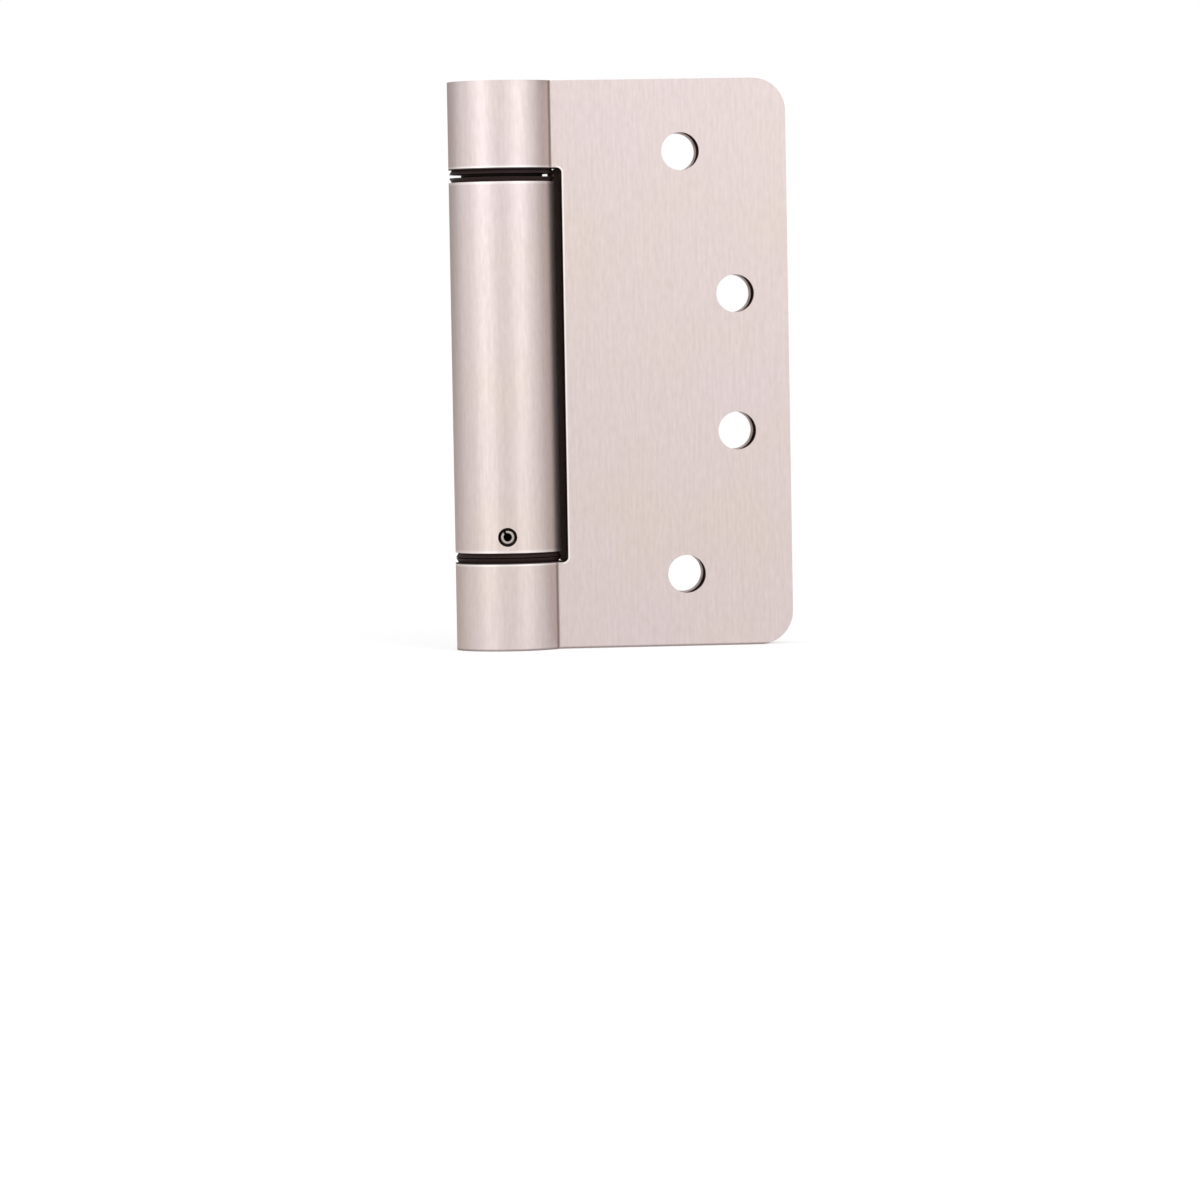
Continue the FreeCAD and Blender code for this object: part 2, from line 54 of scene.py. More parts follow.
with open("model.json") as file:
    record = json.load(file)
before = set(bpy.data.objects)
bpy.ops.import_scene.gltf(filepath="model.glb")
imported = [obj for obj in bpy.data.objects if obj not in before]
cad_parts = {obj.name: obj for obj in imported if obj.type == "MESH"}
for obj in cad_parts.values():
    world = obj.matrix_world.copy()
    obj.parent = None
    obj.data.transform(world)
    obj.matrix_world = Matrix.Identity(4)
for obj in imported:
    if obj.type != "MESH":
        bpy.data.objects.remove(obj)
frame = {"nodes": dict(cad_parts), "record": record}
cad_low, cad_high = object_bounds()
nodes = frame["nodes"]
record = frame["record"]
body_of = {
    node: body
    for body, members in record["behaviour"]["bodies"].items()
    for node in members
}
slot_of = {row["node"]: row["material_slot"] for row in record["subparts"]}
mounts = {row["name"]: row for row in record["mounts"]}


def mm(length):
    """Millimetres in metres."""
    return length * 0.001


# Measures of the hinge that its finishes follow

HINGE_MIDDLE = (cad_low + cad_high) / 2
HALF_HEIGHT = HINGE_MIDDLE.z - cad_low.z
BARREL_RADIUS = -cad_low.y
SHEET_THICKNESS = mm(2.7)
PLATE_OUTER = abs(mounts["front_leaf_face"]["pos_m"][1])
PLATE_INNER = PLATE_OUTER - SHEET_THICKNESS
FLANGE_THICKNESS = mm(0.85)
KNUCKLE_RIMS = (
    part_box("lower_knuckle_bush")[1].z - FLANGE_THICKNESS,
    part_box("upper_knuckle_washer")[1].z,
)
BARREL_RIMS = (
    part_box("barrel_washer")[1].z,
    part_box("barrel_bush")[1].z - FLANGE_THICKNESS,
)
CUTOUT_HALF = (KNUCKLE_RIMS[1] - KNUCKLE_RIMS[0]) / 2
CUTOUT_EDGE = BARREL_RADIUS + mm(0.75)
CUTOUT_CORNER = mm(0.8)
CREASE_LEVEL = PLATE_OUTER + mm(0.3)
CREASE_REACH = math.sqrt(BARREL_RADIUS**2 - CREASE_LEVEL**2)
COUNTERSINK_RADIUS = mm(5.0)
SCREW_ROWS = [
    (mounts[name]["pos_m"][0], mm(mounts[name]["dims"]["spacing_y_mm"]) / 2)
    for name in ("front_middle_screws", "front_end_screws")
]
pin_low, pin_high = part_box("tension_pin")
PIN_LEVEL = (pin_low.z + pin_high.z) / 2
PIN_SIDE = (pin_low.x + pin_high.x) / 2
PIN_WINDOW_RADIUS = mm(1.7)


# Node helpers

def add_node(tree, kind, **settings):
    node = tree.nodes.new(kind)
    for name, value in settings.items():
        setattr(node, name, value)
    return node


def feed(tree, socket, source):
    """Give a socket another socket's value, or a plain one."""
    if isinstance(source, bpy.types.NodeSocket):
        tree.links.new(source, socket)
    else:
        socket.default_value = source


def add_math(tree, operation, first, second=0.0):
    node = add_node(tree, "ShaderNodeMath", operation=operation)
    feed(tree, node.inputs[0], first)
    feed(tree, node.inputs[1], second)
    return node.outputs["Value"]


def combine(tree, operation, *values):
    """Two or more values taken together by one operation."""
    result = values[0]
    for value in values[1:]:
        result = add_math(tree, operation, result, value)
    return result


def away_from(tree, source, level):
    """How far a value lies from a level, on either side of it."""
    return add_math(tree, "ABSOLUTE", add_math(tree, "SUBTRACT", source, level))


def hypotenuse(tree, first, second):
    squares = [add_math(tree, "POWER", side, 2) for side in (first, second)]
    return add_math(tree, "SQRT", add_math(tree, "ADD", *squares))


def spread(tree, source, low, high, start=0.0, end=1.0):
    """A value that runs from low to high while the source runs from start to end."""
    node = add_node(tree, "ShaderNodeMapRange")
    tree.links.new(source, node.inputs["Value"])
    node.inputs["From Min"].default_value = start
    node.inputs["From Max"].default_value = end
    node.inputs["To Min"].default_value = low
    node.inputs["To Max"].default_value = high
    return node.outputs["Result"]


def fade_out(tree, source, start, end, strength=1.0):
    return spread(tree, source, strength, 0, start, end)


def fade_in(tree, source, start, end):
    return spread(tree, source, 0, 1, start, end)


def blend_colours(tree, factor, first, second):
    node = add_node(tree, "ShaderNodeMix", data_type="RGBA")
    tree.links.new(factor, node.inputs["Factor"])
    for name, colour in (("A", first), ("B", second)):
        socket = next(s for s in node.inputs if s.name == name and s.type == "RGBA")
        feed(tree, socket, colour)
    return next(s for s in node.outputs if s.type == "RGBA")


def noise(tree, vector, scale, detail):
    node = add_node(tree, "ShaderNodeTexNoise", noise_dimensions="3D")
    tree.links.new(vector, node.inputs["Vector"])
    node.inputs["Scale"].default_value = scale
    node.inputs["Detail"].default_value = detail
    node.inputs["Roughness"].default_value = 0.5
    return node.outputs["Fac"]


def object_place(tree):
    return add_node(tree, "ShaderNodeTexCoord").outputs["Object"]


def axes(tree, vector):
    """The X, Y and Z of a vector."""
    split = add_node(tree, "ShaderNodeSeparateXYZ")
    tree.links.new(vector, split.inputs["Vector"])
    return [split.outputs[axis] for axis in "XYZ"]


def join_axes(tree, *sides):
    join = add_node(tree, "ShaderNodeCombineXYZ")
    for socket, side in zip(join.inputs, sides):
        feed(tree, socket, side)
    return join.outputs["Vector"]


def new_group(name, inputs, outputs):
    """A node group with float inputs and outputs, and its two end nodes."""
    group = bpy.data.node_groups.new(name, "ShaderNodeTree")
    for socket_name, default in inputs.items():
        socket = group.interface.new_socket(socket_name, in_out="INPUT", socket_type="NodeSocketFloat")
        socket.default_value = default
    for socket_name in outputs:
        group.interface.new_socket(socket_name, in_out="OUTPUT", socket_type="NodeSocketFloat")
    return group, add_node(group, "NodeGroupInput"), add_node(group, "NodeGroupOutput")


def place_group(tree, group):
    return add_node(tree, "ShaderNodeGroup", node_tree=group)


# Effects that the finishes share

LINE_SCALE = 0.5
SHORT_LINES = 0.6
LONG_LINES = 0.4
LONG_LINE_SHIFT = (37, 11, 5)
LONG_LINE_SCALE = (1.3, 1.3, 0.22)
PATCH_SCALE = 60
RING_SCALE = 0.7
GRAIN_SCALE = 0.5
ENCLOSED_FADE = (CUTOUT_HALF, CUTOUT_HALF + mm(2))


def brushing_group():
    """Fine lines along the hinge axis, and slow patches of two shades."""
    group, given, result = new_group(
        "brushing", {"Line Width": mm(0.27), "Line Length": mm(1)}, ("Lines", "Patches")
    )
    place = object_place(group)
    sizes = [given.outputs[name] for name in ("Line Width", "Line Width", "Line Length")]
    stretched = [add_math(group, "DIVIDE", side, size) for side, size in zip(axes(group, place), sizes)]
    in_lines = join_axes(group, *stretched)
    longer = add_node(group, "ShaderNodeMapping")
    longer.inputs["Location"].default_value = LONG_LINE_SHIFT
    longer.inputs["Scale"].default_value = LONG_LINE_SCALE
    group.links.new(in_lines, longer.inputs["Vector"])
    short = noise(group, in_lines, LINE_SCALE, 1.5)
    long = noise(group, longer.outputs["Vector"], LINE_SCALE, 1)
    shares = (
        add_math(group, "MULTIPLY", short, SHORT_LINES),
        add_math(group, "MULTIPLY", long, LONG_LINES),
    )
    group.links.new(add_math(group, "ADD", *shares), result.inputs["Lines"])
    group.links.new(noise(group, place, PATCH_SCALE, 1), result.inputs["Patches"])
    return group


def turning_group():
    """Fine rings round the hinge axis, as a lathe leaves them on an end face."""
    group, given, result = new_group("turning", {"Ring Width": mm(0.14)}, ("Rings",))
    x, y, z = axes(group, object_place(group))
    width = given.outputs["Ring Width"]
    ring = add_math(group, "DIVIDE", hypotenuse(group, x, y), width)
    level = add_math(group, "DIVIDE", z, width)
    rings = noise(group, join_axes(group, ring, 0, level), RING_SCALE, 2)
    group.links.new(rings, result.inputs["Rings"])
    return group


def grain_group():
    """Even fine grain, as on moulded plastic or tumbled steel."""
    group, given, result = new_group("grain", {"Grain Size": mm(0.15)}, ("Grain",))
    scale = add_node(group, "ShaderNodeVectorMath", operation="SCALE")
    group.links.new(object_place(group), scale.inputs["Vector"])
    group.links.new(add_math(group, "DIVIDE", 1, given.outputs["Grain Size"]), scale.inputs["Scale"])
    group.links.new(noise(group, scale.outputs["Vector"], GRAIN_SCALE, 2), result.inputs["Grain"])
    return group


def enclosed_shade_group():
    """Painted shade mask, 1 between the joints, where the barrel closes round the pieces inside it."""
    group, _, result = new_group("enclosed_shade", {}, ("Inside",))
    z = axes(group, object_place(group))[2]
    inside = fade_out(group, away_from(group, z, HINGE_MIDDLE.z), *ENCLOSED_FADE)
    group.links.new(inside, result.inputs["Inside"])
    return group


def cutout_group():
    """Distance outwards from the front leaf's cutout, with its rounded corners."""
    group, _, result = new_group("cutout", {}, ("Outwards",))
    x, _, z = axes(group, object_place(group))
    sides = (
        add_math(group, "SUBTRACT", x, CUTOUT_EDGE - CUTOUT_CORNER),
        add_math(group, "SUBTRACT", away_from(group, z, HINGE_MIDDLE.z), CUTOUT_HALF - CUTOUT_CORNER),
    )
    from_corner = hypotenuse(group, *(add_math(group, "MAXIMUM", side, 0) for side in sides))
    outwards = add_math(group, "SUBTRACT", from_corner, CUTOUT_CORNER)
    group.links.new(outwards, result.inputs["Outwards"])
    return group


# Painted shade in the gaps and holes of the leaves. Each fade says where it starts and ends.

OUTER_FADE = (PLATE_OUTER - mm(0.3), PLATE_OUTER - mm(0.1))
INNER_FADE = (PLATE_INNER + mm(0.1), PLATE_INNER + mm(0.8))
SURFACE_MARGIN = mm(0.04)
SLIT_REACH = CUTOUT_EDGE + mm(0.2)
SLIT_HALF = HALF_HEIGHT - mm(0.3)
EDGE_LINE = mm(0.15)
FRONT_WALL_FADE = (-PLATE_INNER - mm(1.9), -PLATE_INNER - mm(1.6))
REAR_RING_LEVEL = PLATE_INNER + mm(1.1)
REAR_RING_FADE = (mm(0.36), mm(0.46))
PIN_WALL_FADE = (BARREL_RADIUS - mm(0.2), BARREL_RADIUS - SURFACE_MARGIN)
PIN_WALL_REACH = PIN_WINDOW_RADIUS + mm(0.4)
INNER_FACE_LIMIT = PLATE_INNER + mm(0.15)
INNER_FACE_FADE = (CUTOUT_EDGE + mm(0.8), CUTOUT_EDGE + mm(3))
INNER_FACE_SHADE = 0.95
CREASE_FADE = (mm(0.15), mm(0.7))
CREASE_SHADE = 0.5
FOOT_FADE = (cad_low.z + mm(0.2), cad_low.z + mm(0.45))
FOOT_SHADE = 0.55
RIM_FADE = (mm(0.12), mm(0.22))
RIM_SHADE = 0.9


def outside_barrel(tree, x, y):
    return add_math(tree, "GREATER_THAN", hypotenuse(tree, x, y), BARREL_RADIUS + SURFACE_MARGIN)


def below_outer_face(tree, y):
    return fade_out(tree, add_math(tree, "ABSOLUTE", y), *OUTER_FADE)


def nearest_level(tree, z, levels):
    """Distance to the nearest of some levels along the hinge axis."""
    return combine(tree, "MINIMUM", *(away_from(tree, z, level) for level in levels))


def slit_shade(tree, x, y, z):
    """Painted shade on the walls of the slit beside the barrel, and a thin line of it on the front leaf's
    edge there.
    """
    outside = outside_barrel(tree, x, y)
    past_inner = fade_in(tree, add_math(tree, "ABSOLUTE", y), *INNER_FADE)
    by_cutout = add_math(tree, "LESS_THAN", x, SLIT_REACH)
    off_ends = add_math(tree, "LESS_THAN", away_from(tree, z, HINGE_MIDDLE.z), SLIT_HALF)
    below_outer = below_outer_face(tree, y)
    walls = combine(tree, "MULTIPLY", outside, by_cutout, off_ends, below_outer, past_inner)
    outwards = place_group(tree, CUTOUT).outputs["Outwards"]
    by_edge = add_math(tree, "LESS_THAN", outwards, EDGE_LINE)
    in_front = add_math(tree, "LESS_THAN", y, 0)
    edge_line = combine(tree, "MULTIPLY", by_edge, outside, in_front, past_inner)
    return add_math(tree, "MAXIMUM", walls, edge_line)


def hole_shade(tree, x, y, z):
    """Painted shade on the walls of the front leaf's screw holes, and a ring of it in the rear leaf's
    countersinks.
    """
    from_middle = away_from(tree, z, HINGE_MIDDLE.z)
    from_screws = [
        hypotenuse(tree, add_math(tree, "SUBTRACT", x, side), add_math(tree, "SUBTRACT", from_middle, half))
        for side, half in SCREW_ROWS
    ]
    in_hole = add_math(tree, "LESS_THAN", combine(tree, "MINIMUM", *from_screws), COUNTERSINK_RADIUS)
    front_wall = fade_out(tree, y, *FRONT_WALL_FADE)
    rear_ring = fade_out(tree, away_from(tree, y, REAR_RING_LEVEL), *REAR_RING_FADE)
    walls = add_math(tree, "MAXIMUM", front_wall, rear_ring)
    return combine(tree, "MULTIPLY", in_hole, walls, below_outer_face(tree, y))


def pin_window_shade(tree, x, y, z):
    """Painted shade on the wall of the window round the tension pin."""
    from_pin = hypotenuse(
        tree, add_math(tree, "SUBTRACT", x, PIN_SIDE), add_math(tree, "SUBTRACT", z, PIN_LEVEL)
    )
    at_pin = add_math(tree, "LESS_THAN", from_pin, PIN_WALL_REACH)
    under_skin = fade_out(tree, hypotenuse(tree, x, y), *PIN_WALL_FADE)
    return add_math(tree, "MULTIPLY", under_skin, at_pin)


def inner_face_shade(tree, x, y, z):
    """Painted shade on the inner faces of the closed leaves, close to the barrel."""
    by_barrel = fade_out(tree, hypotenuse(tree, x, y), *INNER_FACE_FADE, INNER_FACE_SHADE)
    inner_side = add_math(tree, "LESS_THAN", add_math(tree, "ABSOLUTE", y), INNER_FACE_LIMIT)
    return combine(tree, "MULTIPLY", by_barrel, inner_side, outside_barrel(tree, x, y))


def crease_shade(tree, x, y, z):
    """Painted shade line along the crease between a roll and its own plate."""
    above_crease = add_math(tree, "SUBTRACT", add_math(tree, "ABSOLUTE", y), CREASE_LEVEL)
    from_crease = hypotenuse(tree, add_math(tree, "SUBTRACT", x, CREASE_REACH), above_crease)
    by_crease = fade_out(tree, from_crease, *CREASE_FADE, CREASE_SHADE)
    past_cutout = add_math(tree, "SUBTRACT", away_from(tree, z, HINGE_MIDDLE.z), CUTOUT_HALF)
    own_crease = add_math(tree, "LESS_THAN", add_math(tree, "MULTIPLY", past_cutout, y), 0)
    return add_math(tree, "MULTIPLY", by_crease, own_crease)


def foot_shade(tree, x, y, z):
    """Painted shadow line along the lower end, where the hinge meets the floor."""
    return fade_out(tree, z, *FOOT_FADE, FOOT_SHADE)


def rim_shade(tree, x, y, z):
    """Painted shade on the turned-in edge of each knuckle at its joint."""
    rims = fade_out(tree, nearest_level(tree, z, KNUCKLE_RIMS), *RIM_FADE, RIM_SHADE)
    on_knuckle = add_math(tree, "LESS_THAN", x, CUTOUT_EDGE - CUTOUT_CORNER)
    return add_math(tree, "MULTIPLY", rims, on_knuckle)


PAINTED_SHADES = (
    slit_shade,
    hole_shade,
    pin_window_shade,
    inner_face_shade,
    crease_shade,
    foot_shade,
    rim_shade,
)


def painted_shade_group():
    """Painted shade in the gaps and holes of the leaves, 1 where it is darkest."""
    group, _, result = new_group("painted_shade", {}, ("Depth",))
    place = axes(group, object_place(group))
    shade_parts = [painted_shade(group, *place) for painted_shade in PAINTED_SHADES]
    group.links.new(combine(group, "MAXIMUM", *shade_parts), result.inputs["Depth"])
    return group


# Painted sheen, bright along the edges of the leaves

KNUCKLE_SHEEN = 1.0
BARREL_SHEEN = 0.55
EDGE_SHEEN = 0.85
EDGE_SHEEN_PLACE = mm(0.25)
EDGE_SHEEN_FADE = (mm(0.1), mm(0.28))
BAND_FADE = (0.5, 1.0)
SHEEN_SURFACE = BARREL_RADIUS + mm(0.05)
SHEEN_FACE = mm(0.2) - PLATE_OUTER


def rim_sheen_group():
    """Painted sheen in a band along each joint, and a bright painted highlight line round the front leaf's
    cutout.
    """
    group, given, result = new_group("rim_sheen", {"Band": mm(0.6)}, ("Sheen",))
    x, y, z = axes(group, object_place(group))
    bands = []
    for rims, strength in ((KNUCKLE_RIMS, KNUCKLE_SHEEN), (BARREL_RIMS, BARREL_SHEEN)):
        in_bands = add_math(group, "DIVIDE", nearest_level(group, z, rims), given.outputs["Band"])
        bands.append(fade_out(group, in_bands, *BAND_FADE, strength))
    on_barrel = add_math(group, "LESS_THAN", hypotenuse(group, x, y), SHEEN_SURFACE)
    on_rims = add_math(group, "MULTIPLY", combine(group, "MAXIMUM", *bands), on_barrel)
    outwards = place_group(group, CUTOUT).outputs["Outwards"]
    by_edge = fade_out(group, away_from(group, outwards, EDGE_SHEEN_PLACE), *EDGE_SHEEN_FADE, EDGE_SHEEN)
    past_crease = add_math(group, "GREATER_THAN", x, CUTOUT_EDGE - CUTOUT_CORNER)
    on_face = add_math(group, "LESS_THAN", y, SHEEN_FACE)
    edge_line = combine(group, "MULTIPLY", by_edge, on_face, past_crease)
    group.links.new(add_math(group, "MAXIMUM", on_rims, edge_line), result.inputs["Sheen"])
    return group


CUTOUT = cutout_group()
BRUSHING = brushing_group()
TURNING = turning_group()
GRAIN = grain_group()
ENCLOSED_SHADE = enclosed_shade_group()
PAINTED_SHADE = painted_shade_group()
RIM_SHEEN = rim_sheen_group()


# Finishes

NOISE_RANGE = (0.35, 0.65)
STREAK_STRENGTH = 0.45


def rgb(red, green, blue):
    """A colour with full alpha."""
    return (red, green, blue, 1)


def new_material(name, group, **sizes):
    """A material with its Principled shader and one shared effect placed in it."""
    material = bpy.data.materials.new(name)
    material.use_nodes = True
    tree = material.node_tree
    effect = place_group(tree, group)
    for socket_name, size in sizes.items():
        effect.inputs[socket_name.replace("_", " ").title()].default_value = size
    return material, tree, tree.nodes["Principled BSDF"], effect


def bump(tree, shader, height, distance):
    node = add_node(tree, "ShaderNodeBump")
    node.inputs["Distance"].default_value = distance
    node.inputs["Strength"].default_value = 1.0
    tree.links.new(height, node.inputs["Height"])
    tree.links.new(node.outputs["Normal"], shader.inputs["Normal"])


def satin_nickel():
    """Brushed nickel plate with a faint pink cast."""
    material, tree, shader, brushing = new_material(
        "satin_nickel", BRUSHING, line_width=mm(0.27), line_length=mm(1)
    )
    shader.inputs["Metallic"].default_value = 1.0
    shader.inputs["Specular Tint"].default_value = rgb(0.62, 0.58, 0.56)
    lines = brushing.outputs["Lines"]
    cooler = fade_in(tree, brushing.outputs["Patches"], *NOISE_RANGE)
    streaks = fade_out(tree, lines, *NOISE_RANGE, STREAK_STRENGTH)
    sheen = place_group(tree, RIM_SHEEN).outputs["Sheen"]
    painted_shade = place_group(tree, PAINTED_SHADE).outputs["Depth"]
    plate = blend_colours(tree, cooler, rgb(0.76, 0.658, 0.622), rgb(0.76, 0.66, 0.664))
    brushed = blend_colours(tree, streaks, plate, rgb(0.62, 0.53, 0.49))
    # Near white painted sheen along the joints and round the cutout edge.
    with_sheen = blend_colours(tree, sheen, brushed, rgb(0.98, 0.93, 0.91))
    # Near black painted shade in the gaps and holes of the leaves.
    colour = blend_colours(tree, painted_shade, with_sheen, rgb(0.04, 0.021, 0.015))
    tree.links.new(colour, shader.inputs["Base Color"])
    tree.links.new(spread(tree, lines, 0.46, 0.4), shader.inputs["Roughness"])
    bump(tree, shader, lines, mm(0.0012))
    return material


def turned_steel():
    """Zinc plated steel with fine lathe rings, and painted shade where the barrel closes round it."""
    material, tree, shader, turning = new_material("turned_steel", TURNING, ring_width=mm(0.14))
    shader.inputs["Metallic"].default_value = 1.0
    rings = turning.outputs["Rings"]
    inside = place_group(tree, ENCLOSED_SHADE).outputs["Inside"]
    turned = blend_colours(tree, rings, rgb(0.44, 0.43, 0.425), rgb(0.6, 0.59, 0.58))
    # Near black painted shade where the barrel closes round the turned parts.
    colour = blend_colours(tree, inside, turned, rgb(0.05, 0.04, 0.035))
    tree.links.new(colour, shader.inputs["Base Color"])
    tree.links.new(spread(tree, rings, 0.28, 0.42), shader.inputs["Roughness"])
    bump(tree, shader, rings, mm(0.006))
    return material


def grained(name, grain_size, shades, roughness, relief):
    """A finish of two shades and two roughnesses that an even grain mixes."""
    material, tree, shader, effect = new_material(name, GRAIN, grain_size=grain_size)
    grain = effect.outputs["Grain"]
    tree.links.new(blend_colours(tree, grain, *shades), shader.inputs["Base Color"])
    tree.links.new(spread(tree, grain, *roughness), shader.inputs["Roughness"])
    bump(tree, shader, grain, relief)
    return material, shader


def pin_steel():
    """Plain grey spring steel of the tension pin."""
    shades = (rgb(0.42, 0.37, 0.35), rgb(0.6, 0.53, 0.5))
    material, shader = grained("pin_steel", mm(0.12), shades, (0.3, 0.5), mm(0.006))
    shader.inputs["Metallic"].default_value = 1.0
    return material


def spring_steel():
    """Dark oiled spring wire."""
    shades = (rgb(0.16, 0.15, 0.15), rgb(0.27, 0.26, 0.26))
    material, shader = grained("spring_steel", mm(0.2), shades, (0.22, 0.4), mm(0.008))
    shader.inputs["Metallic"].default_value = 1.0
    return material


def black_nylon():
    """Moulded nylon of the washers and bushes."""
    shades = (rgb(0.012, 0.0065, 0.006), rgb(0.036, 0.021, 0.019))
    material, shader = grained("black_nylon", mm(0.1), shades, (0.38, 0.6), mm(0.006))
    shader.inputs["Specular IOR Level"].default_value = 0.1
    return material


FINISHES = {
    "satin_nickel": satin_nickel(),
    "spindle_steel": turned_steel(),
    "spring_steel": spring_steel(),
    "pin_steel": pin_steel(),
    "black_nylon": black_nylon(),
}


# Pieces

MERGE_DISTANCE = mm(0.0005)
FLAT_ANGLE = math.radians(0.4)
SHARP_ANGLE = math.radians(28)
RIM_ROUNDING = mm(0.4)
ON_BARREL_MARGIN = mm(0.03)
AT_RIM_MARGIN = mm(0.01)
BEVEL_STEPS = 3
EDGE_RADIUS = {
    "front_leaf": mm(0.22),
    "rear_leaf": mm(0.22),
    "upper_spindle": mm(0.12),
    "adjuster": mm(0.08),
    "torsion_spring": mm(0.1),
    "tension_pin": mm(0.05),
    "upper_knuckle_washer": mm(0.09),
    "barrel_bush": mm(0.09),
    "barrel_washer": mm(0.09),
    "lower_knuckle_bush": mm(0.09),
}


def sharp_edges(shape):
    return [edge for edge in shape.edges if edge.is_manifold and edge.calc_face_angle() > SHARP_ANGLE]


def is_joint_rim(edge):
    """Whether an edge runs round the outside of a knuckle or the barrel, at one of the joints."""
    return all(
        abs(corner.co.xy.length - BARREL_RADIUS) < ON_BARREL_MARGIN
        and any(abs(corner.co.z - level) < AT_RIM_MARGIN for level in KNUCKLE_RIMS + BARREL_RIMS)
        for corner in edge.verts
    )


def round_off(shape, edges, radius):
    bmesh.ops.bevel(
        shape,
        geom=edges,
        offset=radius,
        offset_type="OFFSET",
        affect="EDGES",
        segments=BEVEL_STEPS,
        profile=0.5,
        material=-1,
        clamp_overlap=True,
    )


def wind_up(spring):
    """Bake the spring's placement into its mesh."""
    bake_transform(spring)


def add_object(name, data):
    item = bpy.data.objects.new(name, data)
    bpy.context.scene.collection.objects.link(item)
    return item


def finish_piece(node):
    """Replace a node by its own form with joined faces, softened edges and its finish."""
    shape = bmesh.new()
    shape.from_mesh(nodes[node].data)
    bmesh.ops.remove_doubles(shape, verts=shape.verts, dist=MERGE_DISTANCE)
    bmesh.ops.dissolve_limit(shape, angle_limit=FLAT_ANGLE, verts=shape.verts, edges=shape.edges)
    round_off(shape, [edge for edge in sharp_edges(shape) if is_joint_rim(edge)], RIM_ROUNDING)
    round_off(shape, sharp_edges(shape), EDGE_RADIUS[node])
    for face in shape.faces:
        face.smooth = True
    mesh = bpy.data.meshes.new(f"{node}_finished")
    shape.to_mesh(mesh)
    shape.free()
    mesh.materials.append(FINISHES[slot_of[node]])
    piece = add_object(f"{node}_finished", mesh)
    weighted = piece.modifiers.new("even_shading", "WEIGHTED_NORMAL")
    weighted.weight = 100
    weighted.keep_sharp = False
    if node == "torsion_spring":
        wind_up(piece)
    else:
        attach(piece, body_of[node])
    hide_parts(node)


for node in nodes:
    finish_piece(node)


# Floor and light

FLOOR_SIZE = 6.0
FLOOR_WHITE = rgb(0.92, 0.92, 0.92)
FLOOR_GLOW = 1.17
FLOOR_GLOW_SHARE = 0.5
ROOM_STRENGTH = 0.9
BACKDROP_STRENGTH = 1.0
LAMP_COLOUR = (1, 1.015, 1.045)
CARD_COLOUR = rgb(1, 0.97, 0.95)


def light_paths(tree):
    """1 for rays from the camera and for rays that metal or glass sends out."""
    paths = add_node(tree, "ShaderNodeLightPath")
    kinds = ("Is Camera Ray", "Is Glossy Ray", "Is Transmission Ray")
    return combine(tree, "MAXIMUM", *(paths.outputs[kind] for kind in kinds))


def mix_shaders(tree, factor, first, second):
    mix = add_node(tree, "ShaderNodeMixShader")
    for socket, source in zip(mix.inputs, (factor, first, second)):
        tree.links.new(source, socket)
    return mix.outputs["Shader"]


def flat_mesh(name, width, height, placing):
    """A rectangle in the XY plane, moved by a matrix."""
    shape = bmesh.new()
    bmesh.ops.create_grid(shape, x_segments=1, y_segments=1, size=0.5)
    bmesh.ops.scale(shape, verts=shape.verts, vec=(width, height, 1))
    bmesh.ops.transform(shape, verts=shape.verts, matrix=placing)
    mesh = bpy.data.meshes.new(name)
    shape.to_mesh(mesh)
    shape.free()
    return mesh


def white_floor():
    """A white floor that is clear from below."""
    mesh = flat_mesh("floor", FLOOR_SIZE, FLOOR_SIZE, Matrix.Translation((0, 0, cad_low.z)))
    material = bpy.data.materials.new("floor_white")
    material.use_nodes = True
    tree = material.node_tree
    shader = tree.nodes["Principled BSDF"]
    shader.inputs["Base Color"].default_value = FLOOR_WHITE
    shader.inputs["Roughness"].default_value = 0.9
    shader.inputs["Specular IOR Level"].default_value = 0.0
    glow = add_node(tree, "ShaderNodeEmission")
    glow.inputs["Strength"].default_value = FLOOR_GLOW
    glow_share = add_math(tree, "MULTIPLY", light_paths(tree), FLOOR_GLOW_SHARE)
    above = mix_shaders(tree, glow_share, shader.outputs["BSDF"], glow.outputs["Emission"])
    from_below = add_node(tree, "ShaderNodeNewGeometry").outputs["Backfacing"]
    clear = add_node(tree, "ShaderNodeBsdfTransparent").outputs["BSDF"]
    surface = mix_shaders(tree, from_below, above, clear)
    tree.links.new(surface, tree.nodes["Material Output"].inputs["Surface"])
    mesh.materials.append(material)
    floor = add_object("floor", mesh)


def studio_world():
    """Soft light from all round, with a plain white backdrop."""
    world = bpy.data.worlds.new("studio")
    bpy.context.scene.world = world
    world.use_nodes = True
    tree = world.node_tree
    room = tree.nodes["Background"]
    backdrop = add_node(tree, "ShaderNodeBackground")
    for background, strength in ((room, ROOM_STRENGTH), (backdrop, BACKDROP_STRENGTH)):
        background.inputs["Color"].default_value = rgb(1, 1, 1)
        background.inputs["Strength"].default_value = strength
    surface = mix_shaders(
        tree, light_paths(tree), room.outputs["Background"], backdrop.outputs["Background"]
    )
    tree.links.new(surface, tree.nodes["World Output"].inputs["Surface"])


def round_about(azimuth, distance, height):
    """A place round the hinge axis. Azimuth 0 is in front, and 90 is at the +X side."""
    angle = math.radians(azimuth)
    return Vector((math.sin(angle) * distance, -math.cos(angle) * distance, height))


def soft_light(name, place, width, height, power):
    """A lamp that faces the middle of the hinge."""
    data = bpy.data.lights.new(name, "AREA")
    data.shape = "RECTANGLE"
    data.size = width
    data.size_y = height
    data.energy = power
    data.color = LAMP_COLOUR
    light = add_object(name, data)
    light.location = place
    light.rotation_euler = (HINGE_MIDDLE - place).to_track_quat("-Z", "Y").to_euler()


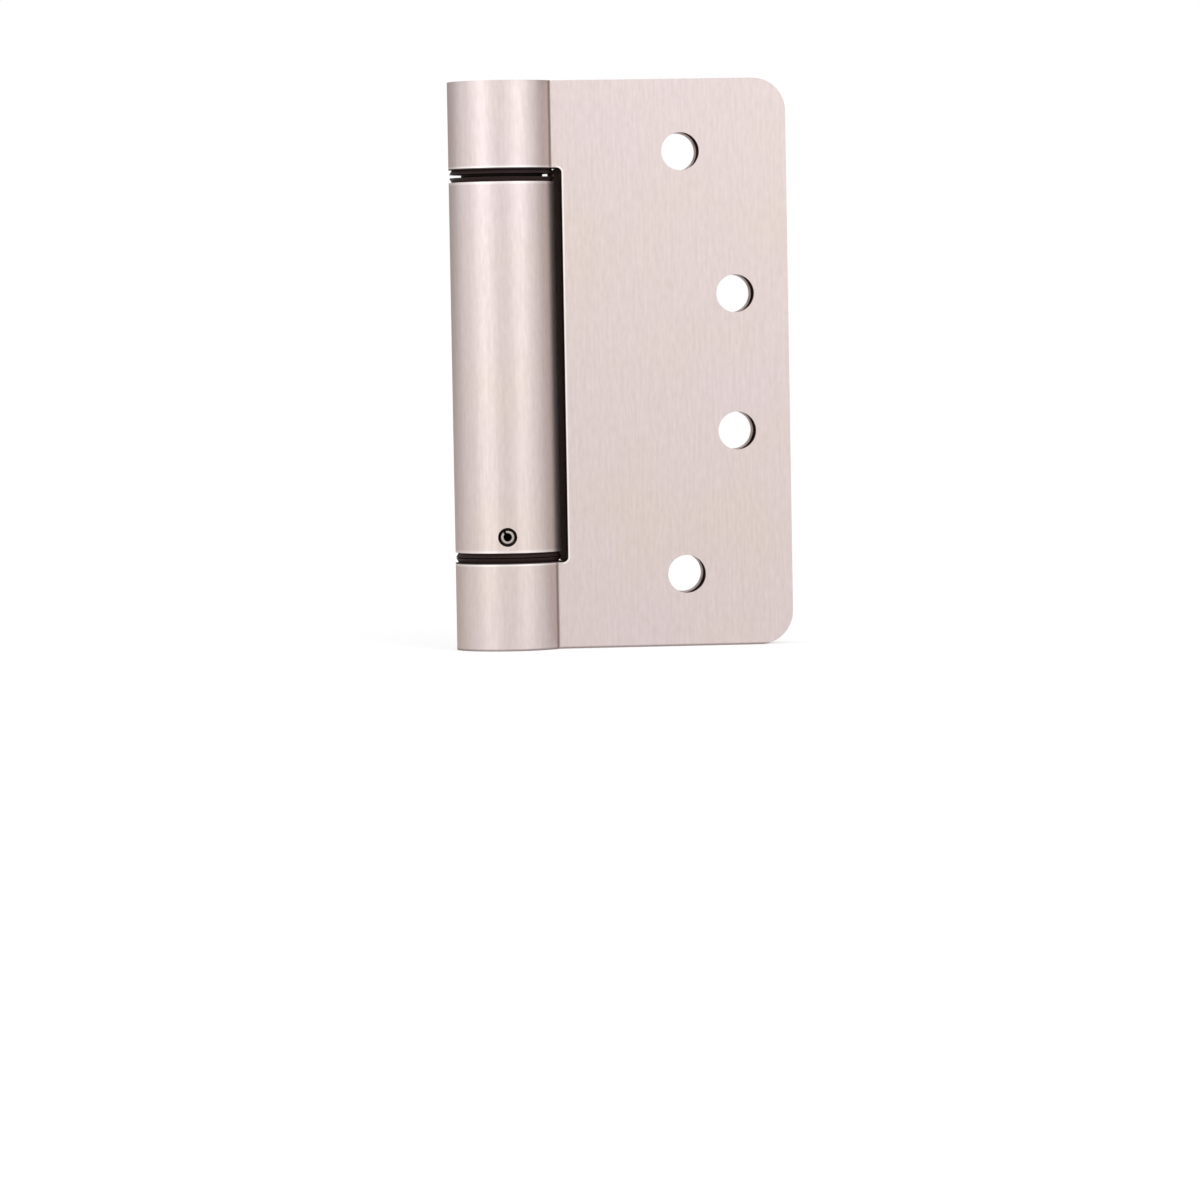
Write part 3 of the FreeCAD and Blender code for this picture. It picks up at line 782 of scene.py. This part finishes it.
def grey_card(name, place, facing, width, height, shade):
    """A card that only the metal's reflections see, with its face towards a point."""
    turn = (facing - place).to_track_quat("Z", "Y").to_matrix().to_4x4()
    mesh = flat_mesh(name, width, height, Matrix.Translation(place) @ turn)
    material = bpy.data.materials.new(name)
    material.use_nodes = True
    shader = material.node_tree.nodes["Principled BSDF"]
    shader.inputs["Base Color"].default_value = rgb(0, 0, 0)
    shader.inputs["Specular IOR Level"].default_value = 0.0
    shader.inputs["Emission Color"].default_value = CARD_COLOUR
    shader.inputs["Emission Strength"].default_value = shade
    mesh.materials.append(material)
    card = add_object(name, mesh)
    card.visible_camera = False
    card.visible_diffuse = False
    card.visible_shadow = False


white_floor()
studio_world()
soft_light("front_left_light", round_about(-46, 1.2, 0.3), width=0.75, height=0.8, power=2.08)
soft_light("front_right_light", round_about(34, 1.3, 0.3), width=0.52, height=0.8, power=1.42)
soft_light("key_light", round_about(30, 0.42, 0.38), width=0.3, height=0.2, power=0.5)
RIGHT_CARD_PLACE = round_about(108, 0.4, HINGE_MIDDLE.z)
LEFT_CARD_PLACE = round_about(-148, 0.5, HINGE_MIDDLE.z)
FLOOR_CARD_PLACE = Vector((0, -0.3, mm(0.3)))
ABOVE_FLOOR_CARD = FLOOR_CARD_PLACE + Vector((0, 0, 1))
grey_card("right_card", RIGHT_CARD_PLACE, HINGE_MIDDLE, width=0.42, height=0.9, shade=0.3)
grey_card("left_card", LEFT_CARD_PLACE, HINGE_MIDDLE, width=0.7, height=0.9, shade=0.5)
grey_card("floor_card", FLOOR_CARD_PLACE, ABOVE_FLOOR_CARD, width=1.4, height=1.0, shade=0.74)


# Camera

CAMERA_PLACE = Vector((-0.0811, -1.061, 0.0588))
CAMERA_AZIMUTH = math.radians(-5.248)
CAMERA_DIP = math.radians(2.709)
CAMERA_ROLL = math.radians(-1.009)
CAMERA_LENS = 177.75
SENSOR_WIDTH = 36

camera = add_object("camera", bpy.data.cameras.new("camera"))
camera.data.lens = CAMERA_LENS
camera.data.sensor_width = SENSOR_WIDTH
aim = Euler((math.pi / 2 - CAMERA_DIP, 0, CAMERA_AZIMUTH)).to_matrix()
camera.rotation_euler = (aim @ Matrix.Rotation(CAMERA_ROLL, 3, "Z")).to_euler()
camera.location = CAMERA_PLACE
bpy.context.scene.camera = camera
bpy.context.scene.view_settings.view_transform = "Standard"
